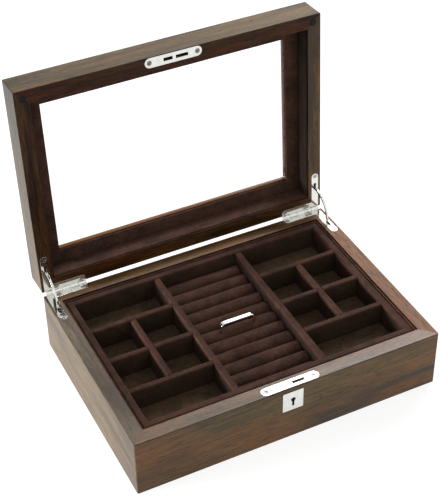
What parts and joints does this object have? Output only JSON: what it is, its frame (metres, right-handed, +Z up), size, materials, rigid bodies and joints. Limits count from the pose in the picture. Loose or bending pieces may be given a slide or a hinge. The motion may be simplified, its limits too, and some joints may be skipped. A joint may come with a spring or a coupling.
{
  "type": "cufflink display box",
  "caption": "Wooden cufflink box with a hinged window lid on quadrant stay hinges, a box lock, and a lift-out suede tray of compartments and ring rolls.",
  "frame": {"origin": "centre of the flat underside of the base, between its four walls", "axes": "+X to the right of the box and along its width, +Y from the front to the hinges, +Z up; the lid stands open at rest"},
  "size_m": [0.3, 0.2576, 0.2748],
  "materials": {
    "walnut": "satin lacquered dark veneer",
    "board": "raw board",
    "suede": "short-nap faux suede over board or foam",
    "felt": "pressed felt",
    "chrome": "polished",
    "lock_steel": "plain stamped",
    "glass": "clear float glass",
    "rubber": "smooth"
  },
  "bodies": {
    "base": {"base_front_wall": "walnut", "base_back_wall": "walnut", "base_left_wall": "walnut", "base_right_wall": "walnut", "bottom_board": "board", "felt_pad": "felt", "floor_lining": "suede", "front_ledge": "suede", "back_ledge": "suede", "left_ledge": "suede", "right_ledge": "suede", "well_linings": "suede", "lock_faceplate": "chrome", "lock_case": "lock_steel", "lock_screws": "chrome", "escutcheon": "chrome", "left_base_leaf": "chrome", "right_base_leaf": "chrome", "base_hinge_screws": "chrome", "hinge_pins": "chrome"},
    "lock": {"key_hub": "lock_steel", "lock_hook": "lock_steel"},
    "lid": {"lid_front_rail": "walnut", "lid_back_rail": "walnut", "lid_left_rail": "walnut", "lid_right_rail": "walnut", "front_top_board": "walnut", "back_top_board": "walnut", "left_top_board": "walnut", "right_top_board": "walnut", "window_glass": "glass", "window_border": "suede", "rail_linings": "suede", "strike_plate": "chrome", "strike_screws": "chrome", "lid_bumpers": "rubber", "left_lid_leaf": "chrome", "right_lid_leaf": "chrome", "lid_hinge_screws": "chrome"},
    "stay_left": {"left_stay": "chrome"},
    "stay_right": {"right_stay": "chrome"},
    "tray": {"tray_front_wall": "suede", "tray_back_wall": "suede", "tray_left_wall": "suede", "tray_right_wall": "suede", "tray_floor": "suede", "left_long_divider": "suede", "right_long_divider": "suede", "left_plain_dividers": "suede", "left_lapped_divider": "suede", "left_short_divider": "suede", "right_plain_dividers": "suede", "right_lapped_divider": "suede", "right_short_divider": "suede", "back_ring_rolls": "suede", "middle_ring_roll": "suede", "front_ring_rolls": "suede", "tray_handle": "chrome", "handle_screws": "chrome"}
  },
  "joints": [
    {"name": "lid_hinge", "type": "hinge", "parent": "base", "child": "lid", "pos_m": [0, 0.1083, 0.0604], "axis": [1, 0, 0], "range_deg": [0, 93.5]},
    {"name": "left_stay_swing", "type": "hinge", "parent": "base", "child": "stay_left", "pos_m": [0, 0.1083, 0.0604], "axis": [1, 0, 0], "range_deg": [0, 46.75]},
    {"name": "right_stay_swing", "type": "hinge", "parent": "base", "child": "stay_right", "pos_m": [0, 0.1083, 0.0604], "axis": [1, 0, 0], "range_deg": [0, 46.75]},
    {"name": "tray_lift", "type": "slide", "parent": "base", "child": "tray", "axis": [0, 0, 1], "range_m": [0, 0.018]},
    {"name": "key_turn", "type": "hinge", "parent": "base", "child": "lock", "pos_m": [0, -0.1008, 0.0462], "axis": [0, -1, 0], "range_deg": [0, 90]}
  ],
  "couplings": [
    {"joint": "left_stay_swing", "follows": "lid_hinge", "ratio": 0.5},
    {"joint": "right_stay_swing", "follows": "lid_hinge", "ratio": 0.5}
  ]
}
